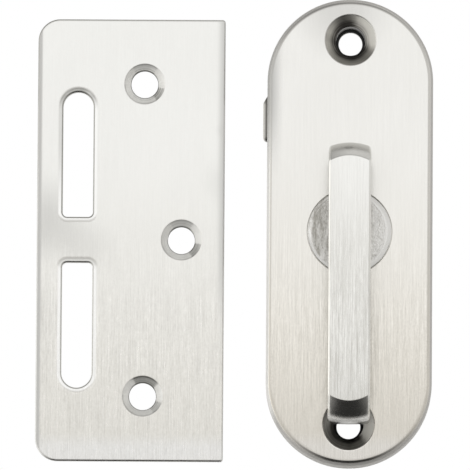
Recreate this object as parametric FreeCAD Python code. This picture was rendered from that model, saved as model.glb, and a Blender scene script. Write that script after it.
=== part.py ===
import FreeCAD, Part
import math
import os

# A claw lock for a sliding door: a pill-shaped case with a bow handle, and a flat strike plate beside it.
# The front faces -Y, +Z is up, and +X is to the right seen from the front. All sizes are in millimetres.
# The origin is on the spindle's axis, on the door face that the case's back lies on.

# Case
case_height = 126.3
case_width = 44.7
case_depth = 12.0
front_wall = 2.2
side_wall = 2.0
base_thickness = 1.5
case_edge_round = 2.25
case_face_grind = 0.14

# Mounting holes through the case
screw_from_end = 11.0
screw_boss = 13.0
screw_bore = 7.9
screw_sink = 14.0
base_hole = 6.4

# Base plate screws, countersunk from the back
base_screw_thread = 3.0
base_screw_head = 5.5
base_screw_length = 8.0
base_screw_recess_width = 0.6
base_screw_recess_span = 2.8
base_screw_recess_depth = 0.9
screw_end_gap = 0.4
post_diameter = 6.0
post_from_side = 7.35
post_past_cap_centre = 5.85

# Rose, bush and spindle
rose_diameter = 22.4
rose_gap = 0.2
rose_proud = 0.3
rose_chamfer = 0.45
recess_depth = 1.6
bush_flange = 18.0
bush_flange_thickness = 0.5
bush_diameter = 13.0
bush_length = 1.9
bush_wall_ring = 3.5
journal_diameter = 10.0
running_gap = 0.05
fitting_gap = 0.02
square_width = 7.0
square_end_gap = 0.05
stud_diameter = 6.0
stud_length = 10.0
stem_pin_diameter = 2.0
stem_pin_height = 6.0
stem_pin_short = 0.3

# Bow handle
grip_width = 11.3
grip_top = 23.0
grip_bottom = 52.1
grip_height = 20.0
bar_thickness = 4.5
leg_thickness = 4.5
grip_bend_depth = 10.1
grip_top_inset = 4.4
grip_bottom_inset = 4.9
grip_crown = 1.1
grip_tip_crown = 0.25
grip_tip_gap = 0.6
grip_edge_chamfer = 0.5
grip_bend_steps = 5
stem_diameter = 10.0
stem_fillet = 2.0

# Claw
claw_thickness = 4.0
claw_ring_width = 10.4
claw_boss_gap = 2.0
claw_tip_peek = 1.15
claw_tip_round = 1.2
claw_tip_slant_across = 1.3
claw_tip_slant_down = 1.45
claw_stop_gap = 0.35
claw_notch_inset = 0.35
claw_web_gap = 1.35
claw_shoulder_round = 2.0
claw_mouth_round = 1.5
hub_flat = 7.5
hub_turn_radius = 8.7
hub_blend_radius = 14.0
window_gap = 0.4
claw_square_gap = 0.05

# Stack behind the claw
disc_spring_height = 0.6
disc_spring_sheet = 0.3
disc_spring_bore = 10.3
disc_spring_diameter = 15.5
flat_washer_diameter = 12.0
flat_washer_thickness = 0.6
spring_washer_diameter = 7.4
spring_washer_thickness = 0.9
spring_washer_slit = 0.7
spring_washer_slant = 25
claw_screw_thread = 4.0
claw_screw_head = 7.6
claw_screw_head_height = 1.5
claw_screw_length = 6.0
claw_screw_head_round = 0.5
claw_screw_recess_width = 0.9
claw_screw_recess_span = 4.0
claw_screw_recess_depth = 1.0
washer_bore_gap = 0.2
access_hole_gap = 2.2

# Detent leaf spring
leaf_thickness = 0.5
leaf_width = 3.2
leaf_reach = 9.0
leaf_gap = 0.05
leaf_post_length = 6.35
leaf_post_wall = 1.6

# Strike plate
strike_width = 50.7
strike_height = 120.0
strike_thickness = 2.5
strike_gap = 11.5
strike_drop = 1.6
strike_far_corner = 6.0
strike_near_corner = 0.8
slot_from_edge = 11.0
slot_width = 8.2
slot_web = 12.4
slot_length = 33.95
slot_inner_corner = 1.3
slot_rim_round = 0.6
strike_hole = 7.3
strike_hole_sink = 11.1
strike_outer_holes_from_edge = 28.9
strike_middle_hole_from_edge = 39.1
strike_hole_spacing = 84.8

# Places worked out from the sizes above
front_y = -case_depth
base_y = -base_thickness
cavity_y = front_y + front_wall
half_width = case_width / 2
inner_half_width = half_width - side_wall
cap_centre = case_height / 2 - half_width
screw_z = case_height / 2 - screw_from_end
post_x = inner_half_width - post_from_side
post_z = cap_centre + post_past_cap_centre

recess_radius = rose_diameter / 2 + rose_gap
recess_y = front_y + recess_depth
rose_front_y = front_y - rose_proud
rose_back_y = recess_y - bush_flange_thickness
wall_ring_y = recess_y + bush_length
journal_radius = journal_diameter / 2

claw_front_y = wall_ring_y + disc_spring_height
claw_back_y = claw_front_y + claw_thickness
claw_outer = screw_z - screw_boss / 2 - claw_boss_gap
claw_inner = claw_outer - claw_ring_width
claw_right = inner_half_width - claw_stop_gap
claw_tip_x = -(half_width + claw_tip_peek)
claw_notch_floor = half_width - claw_notch_inset
claw_notch_side = slot_web / 2 + claw_web_gap
window_top = math.sqrt(claw_outer ** 2 - inner_half_width ** 2) + window_gap
window_bottom = -(hub_flat + window_gap)

washer_back_y = claw_back_y + flat_washer_thickness
screw_head_y = washer_back_y + spring_washer_thickness

grip_front_y = front_y - grip_height
grip_tip_y = front_y - grip_tip_gap
bar_back_y = grip_front_y + bar_thickness
bend_y = grip_front_y + grip_bend_depth

leaf_top = -(hub_flat + leaf_gap)
leaf_bottom = leaf_top - leaf_thickness
leaf_front_y = (claw_front_y + claw_back_y - leaf_width) / 2
leaf_post_x = inner_half_width - leaf_post_length

strike_right = -(half_width + strike_gap)
strike_left = strike_right - strike_width
strike_front_y = -strike_thickness
strike_z = -strike_drop


# Solids along the Y axis, from the front at y0 to the back at y1

def point(x, z, y=0.0):
    return FreeCAD.Vector(x, y, z)


def box(x0, x1, y0, y1, z0, z1):
    return Part.makeBox(x1 - x0, y1 - y0, z1 - z0, FreeCAD.Vector(x0, y0, z0))


def rod(radius, y0, y1, x=0.0, z=0.0):
    return Part.makeCylinder(radius, y1 - y0, FreeCAD.Vector(x, y0, z), FreeCAD.Vector(0, 1, 0))


def taper(radius0, radius1, y0, y1, x=0.0, z=0.0):
    return Part.makeCone(radius0, radius1, y1 - y0, FreeCAD.Vector(x, y0, z), FreeCAD.Vector(0, 1, 0))


def tube(outer, inner, y0, y1, x=0.0, z=0.0):
    return rod(outer, y0, y1, x, z).cut(rod(inner, y0, y1, x, z))


def line(a, b):
    return Part.LineSegment(a, b).toShape()


def arc(a, middle, b):
    return Part.Arc(a, middle, b).toShape()


def plate(edges, y0, y1):
    face = Part.Face(Part.Wire(edges))
    face.translate(FreeCAD.Vector(0, y0, 0))
    return face.extrude(FreeCAD.Vector(0, y1 - y0, 0))


def pill(width, height):
    """Edges of an upright outline with half-round ends."""
    r = width / 2
    c = height / 2 - r
    return [
        line(point(r, -c), point(r, c)),
        arc(point(r, c), point(0, c + r), point(-r, c)),
        line(point(-r, c), point(-r, -c)),
        arc(point(-r, -c), point(0, -c - r), point(r, -c)),
    ]


def on_circle(radius, degrees, x=0.0, z=0.0):
    a = math.radians(degrees)
    return point(x + radius * math.cos(a), z + radius * math.sin(a))


def edges_at_y(solid, y):
    """Edges that lie flat in the plane at y."""
    return [e for e in solid.Edges if abs(e.BoundBox.YMin - y) < 1e-4 and abs(e.BoundBox.YMax - y) < 1e-4]


def upright_edges(solid, places):
    """Edges along Y that start at one of the given x, z places."""
    found = []
    for edge in solid.Edges:
        size = edge.BoundBox
        if size.YLength < 0.1 or size.XLength > 1e-4 or size.ZLength > 1e-4:
            continue
        if any(abs(size.XMin - x) < 1e-3 and abs(size.ZMin - z) < 1e-3 for x, z in places):
            found.append(edge)
    return found


def sink(hole, mouth, face_y, inwards, x, z):
    """A 90 degree countersink whose mouth lies at face_y and narrows along Y."""
    depth = (mouth - hole) / 2
    if inwards > 0:
        return taper(mouth / 2, hole / 2, face_y, face_y + depth, x, z)
    return taper(hole / 2, mouth / 2, face_y - depth, face_y, x, z)


def cross_recess(width, length, y0, y1, x=0.0, z=0.0):
    upright = box(x - width / 2, x + width / 2, y0, y1, z - length / 2, z + length / 2)
    level = box(x - length / 2, x + length / 2, y0, y1, z - width / 2, z + width / 2)
    return upright.fuse(level)


# Case

def make_case_outside():
    """A pill with a round edge, whose front face is ground flat so that it cuts the round at a crisp line."""
    cast_front_y = front_y - case_face_grind
    case = plate(pill(case_width, case_height), cast_front_y, base_y)
    case = case.makeFillet(case_edge_round, edges_at_y(case, cast_front_y))
    return case.cut(plate(pill(case_width + 2, case_height + 2), cast_front_y - 1, front_y))


def make_case_shell():
    case = make_case_outside()
    case = case.cut(plate(pill(2 * inner_half_width, case_height - 2 * side_wall), cavity_y, base_y))
    inside = []
    for side in (-1, 1):
        inside.append(rod(screw_boss / 2, cavity_y, base_y, 0, side * screw_z))
        for across in (-1, 1):
            inside.append(rod(post_diameter / 2, cavity_y, base_y, across * post_x, side * post_z))
    inside.append(rod(bush_diameter / 2 + bush_wall_ring, cavity_y, wall_ring_y))
    inside.append(leaf_post())
    case = case.multiFuse(inside)

    cuts = [
        rod(recess_radius, front_y - 1, recess_y),
        rod(bush_diameter / 2 + fitting_gap, front_y, base_y),
        box(-half_width - 1, -inner_half_width, claw_front_y - window_gap, claw_back_y + window_gap,
            window_bottom, window_top),
    ]
    for side in (-1, 1):
        cuts.append(rod(screw_bore / 2, front_y - 1, base_y + 1, 0, side * screw_z))
        cuts.append(sink(screw_bore, screw_sink, front_y, 1, 0, side * screw_z))
        for across in (-1, 1):
            cuts.append(rod(base_screw_thread / 2 + fitting_gap, -base_screw_length - screw_end_gap, base_y + 1,
                            across * post_x, side * post_z))
    return case.cut(Part.makeCompound(cuts)).removeSplitter()


def leaf_post():
    """The slotted post that holds the leaf spring's end, joined to the right wall."""
    post = box(leaf_post_x, inner_half_width + side_wall / 2, cavity_y, base_y,
               leaf_bottom - leaf_post_wall, leaf_top + leaf_post_wall)
    slot = box(leaf_post_x - 1, inner_half_width, leaf_front_y - fitting_gap, base_y + 1,
               leaf_bottom - fitting_gap, leaf_top + fitting_gap)
    return post.cut(slot)


def make_base_plate():
    base = plate(pill(case_width, case_height), base_y, 0)
    access = claw_screw_head / 2 + access_hole_gap
    cuts = [rod(access, base_y - 1, 1)]
    for side in (-1, 1):
        cuts.append(rod(base_hole / 2, base_y - 1, 1, 0, side * screw_z))
        for across in (-1, 1):
            x = across * post_x
            z = side * post_z
            cuts.append(rod(base_screw_thread / 2 + running_gap, base_y - 1, 1, x, z))
            cuts.append(sink(base_screw_thread + 2 * running_gap, base_screw_head + 2 * running_gap, 0, -1, x, z))
    return base.cut(Part.makeCompound(cuts)).removeSplitter()


def make_base_screw(x, z):
    shank = rod(base_screw_thread / 2, -base_screw_length, 0, x, z)
    head = sink(base_screw_thread, base_screw_head, 0, -1, x, z)
    recess = cross_recess(base_screw_recess_width, base_screw_recess_span, -base_screw_recess_depth, 1, x, z)
    return shank.fuse(head).cut(recess).removeSplitter()


# Bush, rose and spindle

def make_spindle_bush():
    bore = journal_radius + running_gap
    flange = tube(bush_flange / 2, bore, rose_back_y, recess_y)
    sleeve = tube(bush_diameter / 2, bore, recess_y, wall_ring_y)
    return flange.fuse(sleeve).removeSplitter()


def make_rose_disc():
    disc = rod(rose_diameter / 2, rose_front_y, rose_back_y)
    disc = disc.makeChamfer(rose_chamfer, edges_at_y(disc, rose_front_y))
    return disc.cut(rod(stud_diameter / 2 + fitting_gap, rose_front_y - 1, rose_back_y + 1))


def make_spindle():
    stud = rod(stud_diameter / 2, rose_front_y - stud_length, rose_back_y)
    journal = rod(journal_radius, rose_back_y, wall_ring_y)
    half = square_width / 2
    square = box(-half, half, wall_ring_y, claw_back_y - square_end_gap, -half, half)
    spindle = stud.multiFuse([journal, square])
    thread = claw_screw_thread / 2 + fitting_gap
    tapped = rod(thread, screw_head_y - claw_screw_length - screw_end_gap, claw_back_y + 1)
    pin_y = rose_front_y - stem_pin_height
    pin_hole = across_rod(stem_pin_diameter / 2 + fitting_gap, stud_diameter, pin_y)
    return spindle.cut(tapped).cut(pin_hole).removeSplitter()


def across_rod(radius, length, y):
    """A round bar along X, centred on the spindle's axis at depth y."""
    start = FreeCAD.Vector(-length / 2, y, 0)
    return Part.makeCylinder(radius, length, start, FreeCAD.Vector(1, 0, 0))


def make_stem_pin():
    length = stem_diameter - 2 * stem_pin_short
    return across_rod(stem_pin_diameter / 2, length, rose_front_y - stem_pin_height)


# Bow handle

def bend_radius(inset):
    """The radius that draws an end in by inset over the depth of the bend."""
    return (grip_bend_depth ** 2 + inset ** 2) / (2 * inset)


def grip_section(ahead, crown):
    """The handle's outline at a distance ahead of where its ends start to bend: crowned ends, straight sides."""
    half = grip_width / 2
    ends = []
    for reach, inset in ((grip_top, grip_top_inset), (grip_bottom, grip_bottom_inset)):
        radius = bend_radius(inset)
        slope = math.sqrt(1 - (max(ahead, 0) / radius) ** 2)
        ends.append((reach - radius * (1 - slope), crown / slope))
    (top, top_crown), (bottom, bottom_crown) = ends
    y = bend_y - ahead
    return Part.Wire([
        line(point(half, bottom_crown - bottom, y), point(half, top - top_crown, y)),
        arc(point(half, top - top_crown, y), point(0, top, y), point(-half, top - top_crown, y)),
        line(point(-half, top - top_crown, y), point(-half, bottom_crown - bottom, y)),
        arc(point(-half, bottom_crown - bottom, y), point(0, -bottom, y), point(half, bottom_crown - bottom, y)),
    ])


def grip_outside():
    """Legs that run straight forward, then bend over until the ground front plane cuts them."""
    legs = Part.makeLoft([grip_section(bend_y - grip_tip_y, grip_tip_crown), grip_section(0, grip_crown)], True)
    sections = []
    for i in range(grip_bend_steps + 1):
        ahead = grip_bend_depth * math.sin(math.radians(60) * i / grip_bend_steps) / math.sin(math.radians(60))
        sections.append(grip_section(ahead, grip_crown))
    return legs.fuse(Part.makeLoft(sections, True))


def grip_window():
    """The open space between the legs, with its inner corners rounded."""
    high = grip_top - leg_thickness
    low = -(grip_bottom - leg_thickness)
    span = box(-grip_width, grip_width, bar_back_y, front_y, low, high)
    for z, inset in ((high, grip_top_inset), (low, grip_bottom_inset)):
        corner = []
        for edge in span.Edges:
            size = edge.BoundBox
            if size.XLength > grip_width and abs(size.YMin - bar_back_y) < 1e-3 and abs(size.ZMin - z) < 1e-3:
                corner.append(edge)
        span = span.makeFillet(bend_radius(inset) - leg_thickness, corner)
    return span


def make_grip_bar():
    bow = grip_outside().cut(grip_window()).removeSplitter()
    sides = []
    for edge in bow.Edges:
        size = edge.BoundBox
        on_side = size.XLength < 1e-3 and abs(abs(size.XMin) - grip_width / 2) < 1e-3
        if on_side and not is_inside_edge(edge) and not lies_at_tip(edge):
            sides.append(edge)
    bow = bow.makeChamfer(grip_edge_chamfer, sides)
    stem = rod(stem_diameter / 2, bar_back_y - 1, rose_front_y)
    foot = stem_foot()
    bore_y = rose_front_y - stud_length - screw_end_gap
    bore = rod(stud_diameter / 2 + fitting_gap, bore_y, rose_front_y + 1)
    pin_hole = across_rod(stem_pin_diameter / 2 + fitting_gap, stem_diameter + 2, rose_front_y - stem_pin_height)
    return bow.multiFuse([stem, foot]).cut(bore).cut(pin_hole).removeSplitter()


def stem_foot():
    """The flared top of the stem, where it meets the bar."""
    r = stem_diameter / 2
    flare = min(stem_fillet, grip_width / 2 - r)
    return taper(r + flare, r, bar_back_y, bar_back_y + stem_fillet)


def is_inside_edge(edge):
    """Whether an edge of the bow borders the open space between its legs."""
    size = edge.BoundBox
    high = grip_top - leg_thickness
    low = -(grip_bottom - leg_thickness)
    return size.ZMax < high + 1e-3 and size.ZMin > low - 1e-3 and size.YMin > bar_back_y - 1e-3


def lies_at_tip(edge):
    size = edge.BoundBox
    return abs(size.YMin - grip_tip_y) < 1e-3 and abs(size.YMax - grip_tip_y) < 1e-3


# Claw and what holds it on the spindle

def above(x, radius):
    """The point straight above x on a circle about the spindle."""
    return point(x, math.sqrt(radius ** 2 - x ** 2))


def claw_outline():
    """The claw as it lies open: the hub, the arm up to the ring, the ring over to the left, and the tip."""
    hub_corner = math.sqrt(hub_turn_radius ** 2 - hub_flat ** 2)
    slant_top = above(claw_tip_x + claw_tip_slant_across, claw_outer)
    slant_foot = above(claw_tip_x, claw_outer) - point(0, claw_tip_slant_down)
    blend_x = claw_right - hub_blend_radius
    blend_z = hub_blend_radius - hub_flat
    return [
        line(point(claw_right, blend_z), above(claw_right, claw_outer)),
        arc(above(claw_right, claw_outer), point(0, claw_outer), slant_top),
        line(slant_top, slant_foot),
        line(slant_foot, above(claw_tip_x, claw_inner)),
        arc(above(claw_tip_x, claw_inner), point(0, claw_inner), above(claw_notch_side, claw_inner)),
        line(above(claw_notch_side, claw_inner), point(claw_notch_side, claw_notch_floor)),
        line(point(claw_notch_side, claw_notch_floor), point(-hub_flat, claw_notch_floor)),
        line(point(-hub_flat, claw_notch_floor), point(-hub_flat, -hub_corner)),
        arc(point(-hub_flat, -hub_corner), on_circle(hub_turn_radius, 225), point(-hub_corner, -hub_flat)),
        line(point(-hub_corner, -hub_flat), point(blend_x, -hub_flat)),
        arc(point(blend_x, -hub_flat), on_circle(hub_blend_radius, -45, blend_x, blend_z),
            point(claw_right, blend_z)),
    ]


def make_claw():
    claw = plate(claw_outline(), claw_front_y, claw_back_y)
    tip = above(claw_tip_x, claw_inner)
    shoulder = above(claw_right, claw_outer)
    mouth = above(claw_notch_side, claw_inner)
    claw = claw.makeFillet(claw_tip_round, upright_edges(claw, [(tip.x, tip.z)]))
    claw = claw.makeFillet(claw_shoulder_round, upright_edges(claw, [(shoulder.x, shoulder.z)]))
    mouth_corners = [(mouth.x, mouth.z), (claw_notch_side, claw_notch_floor)]
    claw = claw.makeFillet(claw_mouth_round, upright_edges(claw, mouth_corners))
    half = square_width / 2 + claw_square_gap
    return claw.cut(box(-half, half, claw_front_y - 1, claw_back_y + 1, -half, half))


def make_disc_spring():
    """A dished ring whose inner rim bears on the bush and whose outer rim bears on the claw."""
    inner = disc_spring_bore / 2
    outer = disc_spring_diameter / 2
    rise = disc_spring_height - disc_spring_sheet
    corners = [
        FreeCAD.Vector(inner, wall_ring_y, 0),
        FreeCAD.Vector(inner, wall_ring_y + disc_spring_sheet, 0),
        FreeCAD.Vector(outer, wall_ring_y + rise + disc_spring_sheet, 0),
        FreeCAD.Vector(outer, wall_ring_y + rise, 0),
    ]
    face = Part.Face(Part.makePolygon(corners + corners[:1]))
    return face.revolve(FreeCAD.Vector(0, 0, 0), FreeCAD.Vector(0, 1, 0), 360)


def make_flat_washer():
    bore = claw_screw_thread / 2 + washer_bore_gap
    return tube(flat_washer_diameter / 2, bore, claw_back_y, washer_back_y)


def make_spring_washer():
    bore = claw_screw_thread / 2 + washer_bore_gap
    ring = tube(spring_washer_diameter / 2, bore, washer_back_y, screw_head_y)
    slit = box(-spring_washer_slit / 2, spring_washer_slit / 2, washer_back_y - 2, screw_head_y + 2,
               0, spring_washer_diameter)
    middle_y = (washer_back_y + screw_head_y) / 2
    slit.rotate(FreeCAD.Vector(0, middle_y, 0), FreeCAD.Vector(0, 0, 1), spring_washer_slant)
    return ring.cut(slit)


def make_claw_screw():
    back_y = screw_head_y + claw_screw_head_height
    head = rod(claw_screw_head / 2, screw_head_y, back_y)
    head = head.makeFillet(claw_screw_head_round, edges_at_y(head, back_y))
    shank = rod(claw_screw_thread / 2, screw_head_y - claw_screw_length, screw_head_y)
    recess = cross_recess(claw_screw_recess_width, claw_screw_recess_span, back_y - claw_screw_recess_depth,
                          back_y + 1)
    return head.fuse(shank).cut(recess).removeSplitter()


def make_detent_leaf_spring():
    """A flat strip under the hub, with a wide end that the base plate keeps in the post's slot."""
    right = inner_half_width - running_gap
    strip = box(-leaf_reach, right, leaf_front_y, leaf_front_y + leaf_width, leaf_bottom, leaf_top)
    wide_end = box(leaf_post_x, right, leaf_front_y, base_y - running_gap, leaf_bottom, leaf_top)
    return strip.fuse(wide_end).removeSplitter()


# Strike plate

def slot_cutter(side):
    """One slot: square towards the web, half round at its far end. Side is +1 above and -1 below."""
    x = strike_left + slot_from_edge
    r = slot_width / 2
    near = slot_web / 2
    centre = near + slot_length - r
    edges = [
        line(point(x + r, near), point(x + r, centre)),
        arc(point(x + r, centre), point(x, centre + r), point(x - r, centre)),
        line(point(x - r, centre), point(x - r, near)),
        line(point(x - r, near), point(x + r, near)),
    ]
    cutter = plate(edges, strike_front_y - 1, 1)
    cutter = cutter.makeFillet(slot_inner_corner, upright_edges(cutter, [(x - r, near), (x + r, near)]))
    if side < 0:
        cutter = cutter.mirror(FreeCAD.Vector(0, 0, 0), FreeCAD.Vector(0, 0, 1))
    cutter.translate(FreeCAD.Vector(0, 0, strike_z))
    return cutter


def make_strike_plate():
    low = strike_z - strike_height / 2
    high = strike_z + strike_height / 2
    strike = box(strike_left, strike_right, strike_front_y, 0, low, high)
    strike = strike.makeFillet(strike_far_corner, upright_edges(strike, [(strike_left, low), (strike_left, high)]))
    strike = strike.makeFillet(strike_near_corner, upright_edges(strike, [(strike_right, low), (strike_right, high)]))
    strike = strike.cut(slot_cutter(1)).cut(slot_cutter(-1))
    rims = []
    slot_x = strike_left + slot_from_edge
    for edge in edges_at_y(strike, strike_front_y):
        middle = edge.BoundBox.Center
        along = abs(middle.z - strike_z) < slot_web / 2 + slot_length + 0.1
        if along and abs(middle.x - slot_x) < slot_width / 2 + 0.1:
            rims.append(edge)
    strike = strike.makeFillet(slot_rim_round, rims)
    holes = [(strike_middle_hole_from_edge, 0)]
    for side in (-1, 1):
        holes.append((strike_outer_holes_from_edge, side * strike_hole_spacing / 2))
    for from_edge, z in holes:
        x = strike_left + from_edge
        strike = strike.cut(rod(strike_hole / 2, strike_front_y - 1, 1, x, strike_z + z))
        strike = strike.cut(sink(strike_hole, strike_hole_sink, strike_front_y, 1, x, strike_z + z))
    return strike.removeSplitter()


# All pieces, one file each

def main():
    pieces = {
        "case_shell": make_case_shell(),
        "base_plate": make_base_plate(),
        "spindle_bush": make_spindle_bush(),
        "rose_disc": make_rose_disc(),
        "spindle": make_spindle(),
        "stem_pin": make_stem_pin(),
        "grip_bar": make_grip_bar(),
        "claw": make_claw(),
        "disc_spring": make_disc_spring(),
        "flat_washer": make_flat_washer(),
        "spring_washer": make_spring_washer(),
        "claw_screw": make_claw_screw(),
        "detent_leaf_spring": make_detent_leaf_spring(),
        "strike_plate": make_strike_plate(),
    }
    for level, side in (("upper", 1), ("lower", -1)):
        for hand, across in (("left", -1), ("right", 1)):
            pieces[f"base_screw_{level}_{hand}"] = make_base_screw(across * post_x, side * post_z)

    os.makedirs("parts", exist_ok=True)
    for name, shape in pieces.items():
        shape.exportStep(f"parts/{name}.step")
        size = shape.BoundBox
        print(f"{name}: {len(shape.Solids)} solid, valid {shape.isValid()}, volume {shape.Volume:.1f}, "
              f"x {size.XMin:.2f} {size.XMax:.2f}, y {size.YMin:.2f} {size.YMax:.2f}, "
              f"z {size.ZMin:.2f} {size.ZMax:.2f}")


main()
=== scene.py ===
from functools import partialmethod
from math import acos, asin, atan2, cos, degrees, pi, radians, sin, sqrt, tan

import bmesh
import bpy
import numpy as np
from mathutils import Matrix, Vector


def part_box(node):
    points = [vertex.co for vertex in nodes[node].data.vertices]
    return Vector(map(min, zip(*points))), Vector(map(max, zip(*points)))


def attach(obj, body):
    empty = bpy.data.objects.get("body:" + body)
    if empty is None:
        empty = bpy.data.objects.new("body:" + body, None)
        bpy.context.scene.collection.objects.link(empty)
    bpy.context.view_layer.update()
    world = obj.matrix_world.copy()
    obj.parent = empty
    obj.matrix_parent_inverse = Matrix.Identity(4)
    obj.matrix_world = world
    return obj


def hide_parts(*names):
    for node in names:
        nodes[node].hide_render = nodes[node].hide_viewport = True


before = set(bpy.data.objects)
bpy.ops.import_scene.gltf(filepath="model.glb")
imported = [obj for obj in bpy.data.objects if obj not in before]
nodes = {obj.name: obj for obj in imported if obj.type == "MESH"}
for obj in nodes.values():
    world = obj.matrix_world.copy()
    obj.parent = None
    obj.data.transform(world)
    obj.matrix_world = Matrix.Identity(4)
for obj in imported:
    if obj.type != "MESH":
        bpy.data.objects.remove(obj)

# A claw lock for a sliding door and its strike plate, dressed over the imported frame.
# Shapes are worked out in millimetres, x to the right, y back into the door and z up, and made metres in the mesh.

mm = 0.001
tiny = 1e-6  # mm, no distance at all
notZero = 0.01  # mm, the least that anything is divided by
lap, wideLap, edgeLap = 0.3, 0.4, 0.6  # mm of a flat face drawn round a hole, slot or outline, before its fill
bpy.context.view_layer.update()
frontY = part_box("case_shell")[0].y / mm
print("frame loaded:", len(nodes), "nodes")


# Surfaces worked out as whole arrays

def roundLine(corners, steps=8, closed=True):
    # A line through corners (a, b, radius), each replaced by an arc that touches both its sides:
    # the arc's centre lies on the corner's bisector, radius / sin(half the corner's angle) away from it.
    corner = np.array([c[:2] for c in corners], float)
    radius = [c[2] if len(c) > 2 else 0 for c in corners]
    parts = []
    for k, r in enumerate(radius):
        atEnd = not closed and k in (0, len(radius) - 1)
        if r == 0 or atEnd:
            parts.append(corner[k][None])
            continue
        back = corner[k - 1] - corner[k]
        ahead = corner[(k + 1) % len(radius)] - corner[k]
        back, ahead = back / np.linalg.norm(back), ahead / np.linalg.norm(ahead)
        half = acos(np.clip(back @ ahead, -1, 1)) / 2
        centre = corner[k] + (back + ahead) / np.linalg.norm(back + ahead) * r / sin(half)
        start = corner[k] + back * r / tan(half) - centre
        end = corner[k] + ahead * r / tan(half) - centre
        turn = pi - 2 * half
        t = np.linspace(0, 1, steps + 1)[:, None]
        parts.append(centre + (np.sin((1 - t) * turn) * start + np.sin(t * turn) * end) / sin(turn))
    points = np.concatenate(parts)
    apart = np.linalg.norm(points - np.roll(points, 1, 0), axis=1) > tiny
    apart[0] |= not closed
    return points[apart]


def roundBox(left, right, low, high, radii, steps=8):
    # An upright rectangle with its own radius at the lower left, lower right, upper right and upper left.
    a, b, c, d = np.broadcast_to(radii, 4)
    return roundLine([(left, low, a), (right, low, b), (right, high, c), (left, high, d)], steps)


def circle(x, z, radius, steps=16):
    # A circle as four quarter arcs of the given number of steps.
    return roundBox(x - radius, x + radius, z - radius, z + radius, radius, steps)


def arcPoints(x, z, radius, fromDegrees, toDegrees, count):
    # Points at equal angles on a circle about x, z.
    a = np.radians(np.linspace(fromDegrees, toDegrees, count))
    return np.stack([x + radius * np.cos(a), z + radius * np.sin(a)], 1)


def onGrid(x, y, z):
    # One grid of points from arrays that are broadcast to each other.
    return np.stack(np.broadcast_arrays(x, y, z), 2)


def lathe(line, count):
    # A line (radius, depth) turned about the spindle's axis, with the given number of points to a turn.
    turn = np.linspace(0, 2 * pi, count + 1)[:-1]
    reach, depth = line[:, 0, None], line[:, 1, None]
    return onGrid(reach * np.cos(turn), depth, reach * np.sin(turn))


def carry(outline, profile):
    # A profile carried along a closed outline: point (j, i) is outline point i moved by outset j along
    # its own outward normal, at depth j. The normal is square to the line between its two neighbours.
    along = np.roll(outline, -1, 0) - np.roll(outline, 1, 0)
    after = np.roll(outline, -1, 0)
    side = np.sign(np.sum(outline[:, 0] * after[:, 1] - after[:, 0] * outline[:, 1]))
    normal = side * np.stack([along[:, 1], -along[:, 0]], 1) / np.linalg.norm(along, axis=1)[:, None]
    profile = np.array(profile, float)
    flat = outline[None] + profile[:, 0, None, None] * normal[None]
    return onGrid(flat[..., 0], profile[:, 1, None], flat[..., 1])


def addObject(name, data):
    made = bpy.data.objects.new(name, data)
    bpy.context.scene.collection.objects.link(made)
    return made


class Skin:
    # Collects grids of points into one mesh.

    def __init__(self):
        self.points, self.faces, self.count = [], [], 0

    def grid(self, surface, drop=None):
        # Quads between neighbouring rows and columns, the last column joined to the first. Drop marks the quads
        # that are left out.
        rows, columns = surface.shape[:2]
        index = np.arange(rows * columns).reshape(rows, columns) + self.count
        index = np.concatenate([index, index[:, :1]], 1)
        quads = np.stack([index[:-1, :-1], index[:-1, 1:], index[1:, 1:], index[1:, :-1]], 2)
        kept = np.ones(quads.shape[:2], bool) if drop is None else ~drop
        self.faces += quads[kept].tolist()
        self.points.append(surface.reshape(-1, 3))
        self.count += rows * columns
        return index

    def sweep(self, outline, corners, steps):
        # A profile with rounded corners, carried along a closed outline.
        self.grid(carry(outline, roundLine(corners, steps, closed=False)))

    def make(self, name, body, paint, replaced, bevel=0, sharp=35):
        # Merges the seams, fills the open loops, turns the normals outwards and puts the piece in its place.
        mesh = bpy.data.meshes.new(name)
        mesh.from_pydata((np.concatenate(self.points) * mm).tolist(), [], self.faces)
        work = bmesh.new()
        work.from_mesh(mesh)
        seam = 1e-4 * mm
        bmesh.ops.remove_doubles(work, verts=work.verts, dist=seam)
        bmesh.ops.dissolve_degenerate(work, edges=work.edges, dist=seam)
        planes = {}
        for edge in work.edges:
            if edge.is_boundary:
                planes.setdefault(round(edge.verts[0].co.y / mm, 3), []).append(edge)
        for edges in planes.values():
            bmesh.ops.triangle_fill(work, edges=edges, use_beauty=True)
        bmesh.ops.recalc_face_normals(work, faces=work.faces)
        work.to_mesh(mesh)
        work.free()
        mesh.shade_smooth()
        piece = addObject(name, mesh)
        if bevel:
            edge = piece.modifiers.new("edges", "BEVEL")
            edge.width = bevel * mm
            edge.segments = 2
            edge.limit_method = "ANGLE"
            edge.angle_limit = radians(sharp)
            weigh = piece.modifiers.new("normals", "WEIGHTED_NORMAL")
            weigh.keep_sharp = False
        else:
            mesh.set_sharp_from_angle(angle=radians(sharp))
        mesh.materials.append(paint)
        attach(piece, body)
        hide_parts(*replaced)
        print("made", name, len(mesh.polygons), "faces")


# Shader maths

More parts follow.
